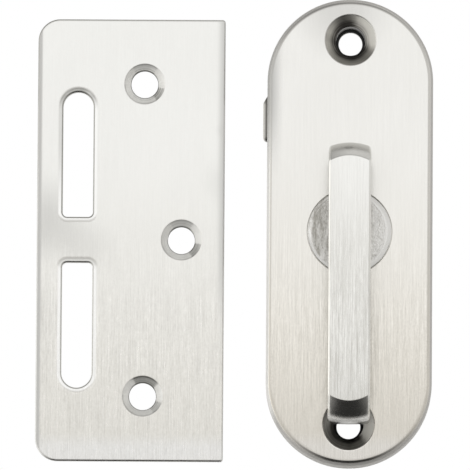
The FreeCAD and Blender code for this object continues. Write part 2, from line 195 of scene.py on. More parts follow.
class Value:
    # A socket whose sums and products add Math nodes.

    def __init__(self, paint, socket):
        self.paint, self.socket = paint, socket

    def maths(self, operation, *others, swap=False):
        values = [self, *others]
        if swap:
            values.reverse()
        return self.paint.node("ShaderNodeMath", {"operation": operation}, dict(enumerate(values)))

    def reflected(self, operation, other):
        return self.maths(operation, other, swap=True)

    __add__, __radd__ = partialmethod(maths, "ADD"), partialmethod(reflected, "ADD")
    __sub__, __rsub__ = partialmethod(maths, "SUBTRACT"), partialmethod(reflected, "SUBTRACT")
    __mul__, __rmul__ = partialmethod(maths, "MULTIPLY"), partialmethod(reflected, "MULTIPLY")
    __truediv__, __rtruediv__ = partialmethod(maths, "DIVIDE"), partialmethod(reflected, "DIVIDE")
    smallest, largest = partialmethod(maths, "MINIMUM"), partialmethod(maths, "MAXIMUM")
    root, size = partialmethod(maths, "SQRT"), partialmethod(maths, "ABSOLUTE")

    def clipped(self):
        return self.largest(0.0).smallest(1.0)

    def fade(self, start, end):
        # 0 below start and 1 above end, eased between them.
        return self.paint.node("ShaderNodeMapRange", {"interpolation_type": "SMOOTHSTEP"},
                               {"Value": self, "From Min": start, "From Max": end})


class Paint:
    # A node tree and what is needed to fill it.

    def __init__(self, name, tree=None):
        if tree is None:
            self.material = bpy.data.materials.new(name)
            self.material.use_nodes = True
            tree = self.material.node_tree
        self.tree = tree
        self.tree.nodes.clear()

    def node(self, kind, settings=None, values=None, output=0):
        # Any node: its settings first, a ramp's stops among them, then the values or links of its sockets.
        made = self.tree.nodes.new(kind)
        for key, value in (settings or {}).items():
            if key == "stops":
                ramp = made.color_ramp
                while len(ramp.elements) < len(value):
                    ramp.elements.new(1)
                for element, (place, colour) in zip(ramp.elements, value):
                    element.position = place
                    element.color = (*np.broadcast_to(colour, 3), 1)
            else:
                setattr(made, key, value)
        for key, value in (values or {}).items():
            if isinstance(value, Value):
                self.tree.links.new(value.socket, made.inputs[key])
            else:
                made.inputs[key].default_value = value
        return Value(self, made.outputs[output]) if made.outputs else None

    def times(self, first, second):
        # A colour or a vector times another.
        return self.node("ShaderNodeVectorMath", {"operation": "MULTIPLY"}, {0: first, 1: second})

    def places(self, scale=1):
        # Object coordinates in millimetres, times one scale or one for each axis.
        return self.times(self.node("ShaderNodeTexCoord", output=3), (np.broadcast_to(scale, 3) / mm).tolist())

    def axis(self, number):
        # One object coordinate in millimetres: 0 for x, 1 for y, 2 for z.
        return self.node("ShaderNodeSeparateXYZ", {}, {0: self.places()}, number)

    def apart(self, x, z):
        # The distance from a line through x, z straight back into the door, in millimetres.
        places = self.places((1, 0, 1))
        return self.node("ShaderNodeVectorMath", {"operation": "DISTANCE"}, {0: places, 1: (x, 0, z)}, 1)

    def noise(self, scale, detail=2, rough=0.5, warp=0.0):
        # Noise from 0 to 1 with the given number of grains to a millimetre.
        return self.node("ShaderNodeTexNoise", {"normalize": True},
                         {"Vector": self.places(scale), "Scale": 1.0, "Detail": detail, "Roughness": rough,
                          "Distortion": warp})

    def mix(self, share, first, second):
        # A colour between two colours.
        colours = [colour if isinstance(colour, Value) else (*colour, 1) for colour in (first, second)]
        return self.node("ShaderNodeMix", {"data_type": "RGBA"}, {0: share, 6: colours[0], 7: colours[1]}, 2)

    def bump(self, height, depth):
        return self.node("ShaderNodeBump", {}, {"Distance": depth * mm, "Height": height})

    def finish(self, colour, rough, normal=None, **constants):
        values = {"Base Color": colour, "Roughness": rough}
        if normal is not None:
            values["Normal"] = normal
        shader = self.node("ShaderNodeBsdfPrincipled", {}, {**values, **constants})
        self.node("ShaderNodeOutputMaterial", {}, {"Surface": shader})
        return self.material


brushedValues = {  # a piece's own finish goes over these
    "contrast": 1.0,
    "scratches": (  # mm wide, mm long, noise detail
        (0.31, 14.0, 1), (0.31 / 1.1, 2.4, 1), (0.31 / 0.9, 0.6, 1), (1.6, 45.0, 2)),
    "shares": (0.49, 0.36, 0.27, 0.12),
    "scratchDepth": 0.006,  # mm
    "gloss": 0.5,  # how much the scratches change the roughness
    "fullBelow": -38.0,  # mm up z, where the scratches are strongest
    "faintAbove": 12.0,  # and where a painted highlight has faded them to their faintest
    "faintest": 0.16,
    "cloudRate": (0.05, 0.05, 0.035),  # to a mm
    "cloudWarp": 0.3,
    "scratchTone": 3.4,  # how much scratches and clouds change the colour, and its middle
    "cloudTone": 0.35,
    "tone": 0.62,
    # painted shade: the part darker and warmer towards the bottom
    "lowerShade": (0.99, 0.98, 0.96),
    "lowerShadeRange": (-50.0, 35.0),  # mm up z: full, none
    "paleTint": (1.055, 1.07, 1.11),
    "paler": (-58.5, -53.5),  # mm up z where the lowest end is paler: full, none
}


def brushedLines(paint, v):
    # Scratches along z: noise stretched along z in four lengths, fainter up the part as a painted highlight that
    # washes them out at the top, and their bumps and roughness fade with them.
    lines = sum((paint.noise((1 / wide, 1 / wide, 1 / long), detail) - 0.5) * share
                for (wide, long, detail), share in zip(v["scratches"], v["shares"]))
    highlightFade = 1 - paint.axis(2).fade(v["fullBelow"], v["faintAbove"]) * (1 - v["faintest"])
    return lines * highlightFade * v["contrast"]


def brushedColour(paint, lines, v):
    # Scratches over wide faint clouds, a painted shade that turns the part darker and warmer down it between two
    # heights, and a paler lowest end.
    cloud = paint.noise(v["cloudRate"], 2, 0.5, v["cloudWarp"]) - 0.5
    share = (lines * v["scratchTone"] + cloud * v["cloudTone"] + v["tone"]).clipped()
    fresh = paint.mix(share, v["dark"], v["light"])
    colour = paint.mix(paint.axis(2).fade(*v["lowerShadeRange"]), paint.times(fresh, v["lowerShade"]), fresh)
    return paint.mix(paint.axis(2).fade(*v["paler"]), paint.times(colour, v["paleTint"]), colour)


class BrushedSteel(Paint):
    # Brushed steel, and what covers shares of it. Its bumps follow its marks.

    def __init__(self, name, finish):
        super().__init__(name)
        v = {**brushedValues, **finish}
        self.marks = brushedLines(self, v)
        self.colour = brushedColour(self, self.marks, v)
        self.rough = v["rough"] - self.marks * v["gloss"]
        self.metal = 1.0

    def cover(self, share, colour=None, rough=None, metal=None, marks=None):
        # Over that share, each value that is given takes the place of the steel's own.
        if colour is not None:
            self.colour = self.mix(share, self.colour, colour)
        if rough is not None:
            self.rough = self.rough * (1 - share) + share * rough
        if metal is not None:
            self.metal = self.metal * (1 - share * (1 - metal))
        if marks is not None:
            self.marks = self.marks * (1 - share) + marks * share

    def done(self):
        bumps = self.bump(self.marks, brushedValues["scratchDepth"])
        return self.finish(self.colour, self.rough, bumps, Metallic=self.metal)


def bowSteel(name, v, tipFrom, tipTo, endFrom):
    # Brushed steel with a painted highlight, lighter and less like metal, near the lower tip between two depths,
    # and a painted shadow from there to its end.
    steel = BrushedSteel(name, v)
    depth = steel.axis(1)
    low = 1 - steel.axis(2).fade(*v["tipBelow"])
    tip = depth.fade(*tipFrom) * (1 - depth.fade(*tipTo)) * low
    steel.cover(tip, v["tipHighlight"], metal=v["tipMetal"])
    steel.cover(depth.fade(*endFrom) * low, v["endShadow"])
    return steel.done()


def gapShadedSteel(name, v):
    # Brushed steel with a dark band of painted shade between two places across, broken up by its scratches.
    steel = BrushedSteel(name, v)
    across = steel.axis(0)
    band = across.fade(*v["gapShadeFrom"]) * (1 - across.fade(*v["gapShadeTo"]))
    steel.cover(band * (v["gapShadeShare"] + steel.marks), v["gapShade"])
    return steel.done()


def castEdge(steel, v):
    # An edge left as cast: from the ground face it turns duller and greyer towards the pill's outline, and on its
    # lower left it carries a painted highlight. Reach is the distance from the straight line between the pill's
    # two centres.
    across, up = steel.axis(0), steel.axis(2)
    over = (up.size() - (v["halfHeight"] - v["halfWidth"])).largest(0.0)
    reach = (across * across + over * over).root()
    grain = steel.noise(v["grainRate"], 3, 0.55) - 0.5
    cast = (reach + grain * v["waver"]).fade(v["halfWidth"] - v["castFrom"], v["halfWidth"] - v["castTo"])
    colour = steel.mix((grain * v["grainTone"] + 0.5).clipped(), v["dark"], v["light"])
    steel.cover(cast, colour, grain * v["grainGloss"] + v["rough"], v["metal"], grain)
    # painted highlight: the cast edge lighter on its lower left, at its front
    leftward = (1 - across.fade(*v["lighterFrom"])) * (1 - up.fade(*v["lighterBelow"]))
    leftward = leftward * (1 - steel.axis(1).fade(*v["lighterBack"]))
    steel.cover(cast * leftward, v["lighter"])


def slotRims(steel, v, frontal):
    # The dip round a slot starts at one depth and its wall at another. The dip carries a painted highlight, weaker
    # by the web, with painted shade on the left higher up and mottled painted shade at the top.
    across, depth, up = (steel.axis(k) for k in range(3))
    # mottled painted shade at the top
    topShadeShare = (steel.noise(v["topShadeRate"], 3, 0.6) + v["topShadeLevel"]) * up.fade(*v["topShadeAbove"])
    web = up.fade(*v["webFrom"]) * (1 - up.fade(*v["webTo"]))
    # painted shade on the left, higher up
    shaded = up.fade(*v["shadedAbove"]) * (1 - across.fade(*v["shadedAcross"]))
    rim = steel.mix(shaded, steel.mix(web, v["dipHighlight"], v["webHighlight"]), v["shaded"])
    steel.cover(depth.fade(*v["dip"]) * frontal, steel.mix(topShadeShare.smallest(1.0), rim, v["topShade"]))
    wall = steel.mix(up.fade(*v["webTo"]), v["lowerWall"], v["wall"])
    steel.cover(depth.fade(*v["wallFrom"]) * frontal, wall)


sinkValues = {  # a piece's own stains, painted highlights and painted shade go over these
    "past": 0.02,  # mm out from the countersink, where it fades out
    "ringWidth": 0.3,  # mm
    "ringShift": 7.0,  # from one countersink's rings to the next one's
    "ringTone": 0.7, "ringGloss": 0.1,
    "sectorRate": 0.16,  # to a mm
    "deepFrom": 0.1, "deepTo": 0.7,  # mm out from the bore, share of the cone, over which a painted shade towards the bore fades out
    "boreEdge": (0.05, 0.15),  # mm out from the bore, where the bore's black painted shade fades out
    "darkLines": 0.0,  # how dark the lines inside the mouth and round the bore are; the one round the bore is painted shade
    "mouthLine": (0.55, 0.25), "mouthEnds": (0.5, 0.9),  # mm in from the mouth; cosine of its ends
    "boreLine": (0.15, 0.45), "boreTop": (0.2, 0.8), "topTone": 1.6,  # mm out from the bore; sine of its top
    "brightMark": 0.5,  # a painted highlight lighter than this is also less like metal
}


def countersink(steel, v, number, sink, frontal):
    # Inside a countersink (x, z, radius, bore) the marks run round its axis, stained by noise, with marks at given
    # angles that are painted highlights and painted shade, painted shade darker towards the bore and nearly black
    # inside it.
    x, z, radius, bore = sink
    away = steel.apart(x, z)
    rightward, upward = ((steel.axis(k) - place) / away.largest(notZero) for k, place in ((0, x), (2, z)))
    mask = (1 - away.fade(radius - v["lip"], radius + v["past"])) * frontal
    ring = steel.node("ShaderNodeTexNoise", {"noise_dimensions": "1D"},
                      {"W": away / v["ringWidth"] + v["ringShift"] * number, "Scale": 1.0, "Detail": 3.0}) - 0.5
    sector = steel.noise(v["sectorRate"]) - 0.5
    # painted shade, darker towards the bore
    deep = 1 - away.fade(bore + v["deepFrom"], bore + v["deepTo"] * (radius - bore))
    tone = ring * v["ringTone"] + sector * v["sector"] + v["tone"] - deep * v["deep"]
    if v["darkLines"]:
        # Dark lines: one inside the mouth, fading to the right, and one round the bore, a painted shade darker at
        # the top.
        mouth = away.fade(*(radius - inward for inward in v["mouthLine"])) * (1 - rightward.fade(*v["mouthEnds"]))
        rim = 1 - away.fade(*(bore + outward for outward in v["boreLine"]))
        tone = tone - (mouth + rim * (upward.fade(*v["boreTop"]) * v["topTone"] + 1)) * v["darkLines"]
    # marks at given angles: painted highlights and painted shade
    for angle, halfWidth, change in v["marks"][number]:
        turn, narrow, broad = (radians(a) for a in (angle, halfWidth, halfWidth + v["soft"]))
        toward = rightward * cos(turn) + upward * sin(turn)
        share = toward.fade(cos(broad), cos(narrow))
        tone = tone + share * change
        if change > v["brightMark"]:
            steel.cover(share * mask, metal=v["brightMetal"])
    inside = steel.mix(tone.clipped(), v["dark"], v["light"])
    # the bore painted nearly black as shade
    inside = steel.mix(1 - away.fade(*(bore + outward for outward in v["boreEdge"])), inside, v["boreColour"])
    steel.cover(mask, inside, ring * v["ringGloss"] + v["rough"], v["metal"], ring)


def drilledSteel(name, finish, stainAndShading, sinks, clouds=(), edge=None, bands=(), slots=None, backFrom=None):
    # Brushed steel with countersinks. Clouds (x, z, radius, brightness) are faint, and full within a tenth of the
    # radius. Bands are painted shade and run from clear to solid across and from faint to full up. All but a cast
    # edge ends at the back.
    steel = BrushedSteel(name, finish)
    across, up = steel.axis(0), steel.axis(2)
    frontal = 1 - steel.axis(1).fade(backFrom - 0.2, backFrom) if backFrom else 1.0
    for x, z, radius, brightness in clouds:
        share = (1 - steel.apart(x, z).fade(radius * 0.1, radius)) * frontal
        steel.cover(share, steel.times(steel.colour, (brightness,) * 3))
    if edge:
        castEdge(steel, edge)
    # the bands are painted shade
    for clear, solid, low, high, colour, rough, metal in bands:
        share = across.fade(clear, solid) if clear < solid else 1 - across.fade(solid, clear)
        steel.cover(share * up.fade(low, high) * frontal, colour, rough, metal)
    if slots:
        slotRims(steel, slots, frontal)
    for number, sink in enumerate(sinks):
        countersink(steel, {**sinkValues, **stainAndShading}, number, sink, frontal)
    return steel.done()


def castSteel(name, v, rimFrom):
    # A disc's face: fine grain as cast with upright smears, stronger on its left, painted light that makes it
    # lighter to the right, and a rim polished all round, wider on its right, with a painted highlight on it but
    # for its upper left.
    paint = Paint(name)
    across, up = paint.axis(0), paint.axis(2)
    reach = (across * across + up * up).root()
    right = (across / reach.largest(notZero)).fade(*v["right"])
    narrow, wide = (reach.fade(*(rimFrom + past for past in v[key])) for key in ("rimNarrow", "rimWide"))
    rim = narrow.largest(wide * right)
    # the painted highlight is left off the rim's upper left, which stays in shade
    shaded = ((up - across) * sqrt(0.5) / reach.largest(notZero)).fade(*v["upperLeft"])
    rimHighlight = rim * (1 - shaded)
    grain = paint.noise(v["grainRate"], 4, 0.62)
    smear = paint.noise(v["smearRate"], 3, 0.6) - 0.5
    share = (grain - 0.5) * v["grainTone"] + smear * (v["smearTone"] - across * v["smearLeft"])
    # painted light: lighter to the right
    share = share + across * v["rightLight"] + v["tone"]
    colour = paint.mix(rimHighlight, paint.mix(share.clipped(), v["dark"], v["light"]), v["rimHighlight"])
    roughness = (v["rough"] + (grain - 0.5) * v["grainGloss"]) * (1 - rim) + rim * v["rimRough"]
    return paint.finish(colour, roughness, paint.bump(grain * (1 - rim), v["grainDepth"]),
                        Metallic=1 - rimHighlight * (1 - v["rimMetal"]))


turnedValues = {
    "grainTone": 0.9, "grainDepth": 0.012,
    "stainRate": 0.18, "stainWarp": 0.5, "stainTone": 1.6, "stainGloss": 0.16,
    "blackShade": (0.03, 0.03, 0.03),
}


def turnedSteel(name, light, dark, rough, grainSize=0.5, blackShade=None):
    # Small machined or plated pieces: fine even grain and faint stains, and a face in front of a depth painted
    # black as shade.
    v = turnedValues
    paint = Paint(name)
    grain = paint.noise(1 / grainSize, 3, 0.55)
    stainAndShading = paint.noise(v["stainRate"], 2, 0.5, v["stainWarp"]) - 0.5
    share = ((grain - 0.5) * v["grainTone"] + stainAndShading * v["stainTone"] + 0.5).clipped()
    colour = paint.mix(share, dark, light)
    if blackShade is not None:
        colour = paint.mix(paint.axis(1).fade(blackShade, blackShade + 0.1), v["blackShade"], colour)
    return paint.finish(colour, rough + stainAndShading * v["stainGloss"], paint.bump(grain, v["grainDepth"]), Metallic=1.0)


# Strike plate

strikeValues = {
    "round": 0.55,  # mm at the front edge
    "backRound": 0.2,
    "rimStarts": 1.65,  # mm out from the slot, where its rim dips, to where it is flat again
    "rimEnds": 0.60,
    "rimDepth": 0.20,
    "rimEdge": 0.52,
    "slotInnerCorner": 1.3, "slotWidth": 8.2, "slotLength": 33.95, "slotWeb": 12.4, "slotFromEdge": 11.0,
    "hole": 3.65, "sink": 5.55, "lip": 0.12,
    "holes": ((28.9, 42.4), (39.1, 0.0), (28.9, -42.4)),
    "farCorner": 6.0, "nearCorner": 0.8,
    "finish": {"light": (0.95, 0.95, 0.93), "dark": (0.80, 0.80, 0.78), "rough": 0.33,
               "lowerShade": (0.94, 0.925, 0.90), "contrast": 0.9},
    "stainAndShading": {
        # the bore colour is painted shade
        "light": (0.98, 0.98, 0.96), "dark": (0.20, 0.20, 0.185), "boreColour": (0.12, 0.12, 0.11),
        "rough": 0.32, "metal": 0.45, "lip": 0.15,
        "tone": 1.06, "sector": 0.6, "deep": 0.05, "darkLines": 0.34,
        "soft": 9.0,  # degrees over which a mark's side fades
        "marks": (  # painted highlights and painted shade; for each hole: degrees round from the right, half its width, how much lighter
            ((-32, 16, -0.50), (20, 26, 0.3), (158, 18, 0.25), (88, 34, -0.20)),
            ((-34, 18, -0.50), (22, 26, 0.3), (156, 18, 0.25), (85, 34, -0.20)),
            ((-36, 16, -0.45), (12, 26, 0.3), (150, 20, 0.25), (78, 36, -0.62))),
    },
    "slots": {
        "dip": (0.02, 0.15), "wallFrom": (0.205, 0.26),  # mm behind the front
        # the dip's painted highlight, weaker by the web, and its painted shade on the left and at the top
        "dipHighlight": (0.98, 0.98, 0.97), "webHighlight": (0.84, 0.84, 0.82), "shaded": (0.73, 0.73, 0.71),
        "topShade": (0.36, 0.36, 0.34), "wall": (0.48, 0.48, 0.46), "lowerWall": (0.64, 0.64, 0.62),
        "webFrom": (-10.0, -8.0), "webTo": (0.0, 2.0),  # mm up z
        "shadedAbove": (5.0, 26.0), "topShadeAbove": (33.0, 38.0),
        "shadedAcross": (1.0, 3.5),  # mm right of the slots' middle
        "topShadeRate": 0.5, "topShadeLevel": 0.1,
    },
    "clouds": (  # mm in from the left edge, mm up from the middle, radius, brightness
        (2.0, 5.0, 15.0, 0.80), (13.0, -2.0, 10.0, 0.90), (0.0, -20.0, 10.0, 0.93), (50.5, 16.0, 8.0, 0.93),
        (50.7, 30.0, 3.0, 0.88)),
    "bands": (  # painted shade along the left and right edges; mm in from the left edge: clear, solid; mm up: faint, full; colour, roughness, metal
        (1.5, 0.8, -200.0, -100.0, (0.68, 0.68, 0.6664), 0.45, 0.55),
        (48.2, 50.5, -35.0, -5.0, (0.76, 0.76, 0.7448), 0.45, 0.70)),
}


def makeStrikePlate():
    v = strikeValues
    low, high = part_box("strike_plate")
    left, right, bottom, top = low.x / mm, high.x / mm, low.z / mm, high.z / mm
    front, back = low.y / mm, high.y / mm
    centre = (bottom + top) / 2
    skin = Skin()
    radii = (v["farCorner"], v["nearCorner"], v["nearCorner"], v["farCorner"])
    edge = [(-edgeLap, back), (0, back, v["backRound"]), (0, front, v["round"]), (-edgeLap, front)]
    skin.sweep(roundBox(left, right, bottom, top, radii, 12), edge, 6)
    # A slot's rim dips along half a cosine wave, runs flat, then turns sharply into the wall.
    t = np.linspace(0, 1, 13)
    floor = front + v["rimDepth"]
    dip = np.stack([v["rimEnds"] + (v["rimStarts"] - v["rimEnds"]) * t,
                    front + v["rimDepth"] * (1 + np.cos(pi * t)) / 2], 1)
    wall = roundLine([(wideLap, back), (0, back, v["backRound"]), (0, floor, v["rimEdge"]),
                      (v["rimEnds"] - 0.05, floor)], 4, closed=False)
    rim = np.concatenate([wall, dip, [(v["rimStarts"] + lap, front)]])
    half, corner = v["slotWidth"] / 2, v["slotInnerCorner"]
    slotX = left + v["slotFromEdge"]
    for side in (1, -1):
        near = centre + side * v["slotWeb"] / 2
        far = near + side * v["slotLength"]
        radii = (corner, corner, half, half)[::side]
        skin.grid(carry(roundBox(slotX - half, slotX + half, min(near, far), max(near, far), radii, 14), rim))
    # A countersunk hole from the back up its wall, out over the 90 degree cone and onto the front face.
    lip, depth = v["lip"], v["sink"] - v["hole"]
    corners = [(lap, back), (0, back, lip), (0, front + depth), (depth, front, lip), (depth + lap, front)]
    sinks = [(left + fromEdge, centre + z, v["sink"], v["hole"]) for fromEdge, z in v["holes"]]
    for x, z, *_ in sinks:
        skin.sweep(circle(x, z, v["hole"]), corners, 4)
    slots = {**v["slots"], "shadedAcross": [slotX + past for past in v["slots"]["shadedAcross"]]}
    for key in ("dip", "wallFrom"):
        slots[key] = [front + depth for depth in slots[key]]
    clouds = [(left + fromEdge, centre + z, *rest) for fromEdge, z, *rest in v["clouds"]]
    bands = [(left + clear, left + solid, *rest) for clear, solid, *rest in v["bands"]]
    paint = drilledSteel("strikeSteel", v["finish"], v["stainAndShading"], sinks, clouds, None, bands, slots, back - 0.1)
    skin.make("strikePlate", "lock_and_strike", paint, ["strike_plate"])


# Case

caseValues = {
    "edgeRound": 2.25,
    "faceGrind": 0.14,
    "backRound": 0.25,
    "frontWall": 2.2,
    "sideWall": 2.0,
    "bore": 3.95, "sink": 7.0, "lip": 0.3, "boss": 6.5, "screwZ": 52.0,
    "recess": 11.4, "recessDepth": 1.6, "recessRound": 0.15,
    "bushHole": 6.52, "ring": 10.0, "ringDepth": 3.5,
    "post": 3.0, "postHole": 1.52, "postDepth": 8.4, "postPlace": (13.0, 46.65),
    "windowZ": (-7.9, 38.84), "windowY": (-8.3, -3.5),
    "leafPost": (14.0, 20.35, -9.65, -5.95),  # mm across from, to; mm up from, to
    "leafSlot": (-8.07, -7.53), "leafGap": 0.4,
    "finish": {"light": (0.848, 0.843, 0.823), "dark": (0.685, 0.675, 0.645), "rough": 0.21,
               "lowerShade": (0.965, 0.935, 0.885), "contrast": 0.6},
    "edge": {
        "castFrom": 0.90,  # mm in from the outline
        "castTo": 0.38,
        "light": (0.65, 0.64, 0.62), "dark": (0.50, 0.49, 0.475), "rough": 0.50, "metal": 0.38,
        "grainRate": (2.2, 2.2, 1.1), "grainTone": 1.2, "grainGloss": 0.2,
        "waver": 0.1,  # mm
        # a painted highlight on the edge's lower left
        "lighter": (0.98, 0.975, 0.96),
        "lighterFrom": (-21.5, -19.0),  # mm across
        "lighterBelow": (26.0, 46.0),  # mm up z
        "lighterBack": (2.2, 3.8),  # mm behind the front
    },
    # the cloud is painted shade at the top of the case
    "clouds": ((-2.5, 61.0, 17.0, 0.80),),  # these two as for the strike plate, but mm across and mm up z
    # the band is painted shade along the upper left of the case's edge
    "bands": ((-17.5, -22.5, 12.0, 38.0, (0.55, 0.55, 0.539), 0.45, 1.0),),
    "stainAndShading": {
        # the bore colour is painted shade, and the marks are painted highlights and painted shade
        "light": (0.88, 0.865, 0.81), "dark": (0.11, 0.105, 0.10), "boreColour": (0.03, 0.03, 0.028),
        "rough": 0.34, "metal": 1.0, "brightMetal": 0.15, "lip": 0.35,
        "tone": 0.42, "sector": 0.9, "deep": 0.55, "soft": 42.0,
        "marks": (
            ((30, 22, 0.75), (170, 20, 0.12), (95, 30, -0.12), (-60, 30, -0.05)),
            ((5, 16, 1.20), (-35, 14, 0.20), (-110, 50, -0.12))),
    },
}


def makeCaseShell():
    v = caseValues
    low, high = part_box("base_plate")
    halfWidth, halfHeight = high.x / mm, high.z / mm
    front, back = frontY, low.y / mm
    ceiling = front + v["frontWall"]
    skin = Skin()
    windowLow, windowHigh = v["windowZ"]
    windowFront, windowBack = v["windowY"]
    outline = roundLine([(-halfWidth, -halfHeight, halfWidth), (halfWidth, -halfHeight, halfWidth),
                         (halfWidth, halfHeight, halfWidth), (-halfWidth, halfHeight, halfWidth),
                         (-halfWidth, windowHigh), (-halfWidth, windowLow)], 40)
    wall = v["sideWall"]
    profile = roundLine([(-wall - lap, ceiling), (-wall, ceiling), (-wall, windowFront), (-wall, windowBack),
                         (-wall, back), (0, back, v["backRound"]), (0, windowBack), (0, windowFront)], 5,
                        closed=False)
    # The round edge ends where the ground face cuts it, with a hair of a bevel at that line.
    r, g = v["edgeRound"], v["faceGrind"]
    turn = acos(1 - g / r)
    a = np.linspace(pi / 2, turn + 0.02, 15)
    bend = np.stack([r * np.sin(a) - r, front - g + r - r * np.cos(a)], 1)
    inset = r * sin(turn) - r
    lip = [(inset - 0.02, front + 0.006), (inset - 0.07, front), (inset - wideLap, front)]
    profile = np.concatenate([profile, bend, lip])
    shell = carry(outline, profile)
    # The window is open where a quad lies between its heights on the straight left side and between its depths.
    after = np.roll(outline, -1, 0)
    along = (outline[:, 1] <= windowHigh + tiny) & (after[:, 1] >= windowLow - tiny)
    onLeft = along & (outline[:, 0] < -halfWidth + tiny) & (after[:, 0] < -halfWidth + tiny)
    depth = profile[:, 1]
    upright = np.isclose(profile[:-1, 0], profile[1:, 0])
    middle = (depth[:-1] + depth[1:]) / 2
    across = upright & (middle > windowFront) & (middle < windowBack)
    drop = across[:, None] & onLeft[None, :]
    index = skin.grid(shell, drop=drop)
    # Four quads join the window's edge on the inner wall to its edge on the outer one.
    inner, outer = np.nonzero(across)[0][[0, -1]]
    columns = np.nonzero(onLeft)[0][0] + np.array([0, 0, 1, 1])
    a = index[[inner, inner + 1, inner + 1, inner], columns].tolist()
    b = index[[outer + 1, outer, outer, outer + 1], columns].tolist()
    skin.faces += [[a[k - 1], a[k], b[k], b[k - 1]] for k in range(4)]
    sinks = []
    for side in (1, -1):
        z = side * v["screwZ"]
        wide = v["boss"] - v["bore"]
        depth = v["sink"] - v["bore"]
        corners = [(wide + lap, ceiling), (wide, ceiling), (wide, back), (0, back), (0, front + depth),
                   (depth, front, v["lip"]), (depth + wideLap, front)]
        skin.sweep(circle(0, z, v["bore"], 20), corners, 5)
        sinks.append((0.0, z, v["sink"], v["bore"]))
        for hand in (1, -1):
            x, postZ = hand * v["postPlace"][0], side * v["postPlace"][1]
            wide = v["post"] - v["postHole"]
            corners = [(wide + lap, ceiling), (wide, ceiling), (wide, back), (0, back), (0, -v["postDepth"])]
            skin.sweep(circle(x, postZ, v["postHole"], 8), corners, 4)
    wide = v["ring"] - v["bushHole"]
    recess = v["recess"] - v["bushHole"]
    floor = front + v["recessDepth"]
    corners = [(wide + lap, ceiling), (wide, ceiling), (wide, front + v["ringDepth"]), (0, front + v["ringDepth"]),
               (0, floor), (recess, floor), (recess, front, v["recessRound"]), (recess + lap, front)]
    skin.sweep(circle(0, 0, v["bushHole"], 24), corners, 4)
    x0, x1, z0, z1 = v["leafPost"]
    slotLow, slotHigh = v["leafSlot"]
    slotEnd = x1 - v["leafGap"]
    post = np.array([(x0, z0), (x1, z0), (x1, z1), (x0, z1), (x0, slotHigh), (slotEnd, slotHigh),
                     (slotEnd, slotLow), (x0, slotLow)])
    skin.grid(carry(post, [(0, ceiling - v["leafGap"]), (0, back)]))
    edge = {**v["edge"], "halfWidth": halfWidth, "halfHeight": halfHeight,
            "lighterBack": [front + depth for depth in v["edge"]["lighterBack"]]}
    paint = drilledSteel("caseSteel", v["finish"], v["stainAndShading"], sinks, v["clouds"], edge, v["bands"])
    skin.make("caseShell", "lock_and_strike", paint, ["case_shell"])


# Base plate

baseValues = {
    "hole": 3.2, "access": 6.0, "holeEdge": 0.12,
    "screwHole": 1.55, "screwSink": 2.8, "screwRound": 0.08,
    "edge": 0.25, "frontEdge": 0.1,
}


def makeBasePlate():
    v = baseValues
    low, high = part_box("base_plate")
    halfWidth, halfHeight = high.x / mm, high.z / mm
    front, back = low.y / mm, high.y / mm
    skin = Skin()
    outline = roundBox(-halfWidth, halfWidth, -halfHeight, halfHeight, halfWidth, 40)
    edge = [(-edgeLap, back), (0, back, v["edge"]), (0, front, v["frontEdge"]), (-edgeLap, front)]
    skin.sweep(outline, edge, 5)
    hole = [(wideLap, back), (0, back, v["holeEdge"]), (0, front, v["holeEdge"]), (wideLap, front)]
    skin.sweep(circle(0, 0, v["access"], 16), hole, 4)
    depth = v["screwSink"] - v["screwHole"]
    for side in (1, -1):
        skin.sweep(circle(0, side * caseValues["screwZ"], v["hole"], 14), hole, 4)
        for hand in (1, -1):
            corners = [(lap, front), (0, front), (0, back - depth), (depth, back, v["screwRound"]),
                       (depth + lap, back)]
            x, z = hand * caseValues["postPlace"][0], side * caseValues["postPlace"][1]
            skin.sweep(circle(x, z, v["screwHole"], 10), corners, 4)
    # the plate's front face, seen only at the bottom of the case's bores, is painted black as shade
    paint = turnedSteel("platedSheet", (0.80, 0.80, 0.79), (0.58, 0.58, 0.57), 0.34, 0.35, front + 0.05)
    skin.make("basePlate", "lock_and_strike", paint, ["base_plate"])


# Rose disc

roseValues = {
    "bore": 3.02, "edgeRound": 0.08, "rings": 60, "turnPoints": 240,
    "rimWidth": 1.0, "rimDepth": 0.36, "rimRound": 0.6,
    "unevenness": 0.045,  # mm
    "finish": {
        # the near-white last colour is the rim's painted highlight
        "light": (0.99, 0.985, 0.97), "dark": (0.45, 0.435, 0.40), "rimHighlight": (0.98, 0.98, 0.965),
        "rough": 0.42, "rimRough": 0.2, "rimMetal": 0.35,
        "rimNarrow": (0.2, 0.35),  # mm out from where the rim starts: dull, polished
        "rimWide": (-0.35, -0.2),  # the same on its right
        "right": (-0.1, 0.3),  # how far to the right that starts and is full, as a cosine
        "upperLeft": (0.45, 0.85),  # how far to the upper left the painted highlight ends
        "grainRate": (2.6, 2.6, 1.6), "grainTone": 1.3, "grainGloss": 0.30, "grainDepth": 0.10,
        # the face is painted lighter to the right as painted light
        "smearRate": (0.80, 0.80, 0.22), "smearTone": 1.5, "smearLeft": 0.12, "rightLight": 0.026, "tone": 0.62,
    },
}


def castNoise(x, z, seed=3, waves=60, finest=2.4):
    # A sum of cosine waves with random directions, phases and lengths from 1 / finest mm up.
    draw = np.random.default_rng(seed)
    turn, phase = draw.uniform(0, 2 * pi, (2, waves))
    rate = finest * 2 * pi * draw.uniform(0.12, 1.0, waves)
    wave = rate * (x[..., None] * np.cos(turn) + z[..., None] * np.sin(turn)) + phase
    return (np.cos(wave) / rate ** 0.5).sum(-1) / (1 / rate ** 0.5).sum() ** 0.5


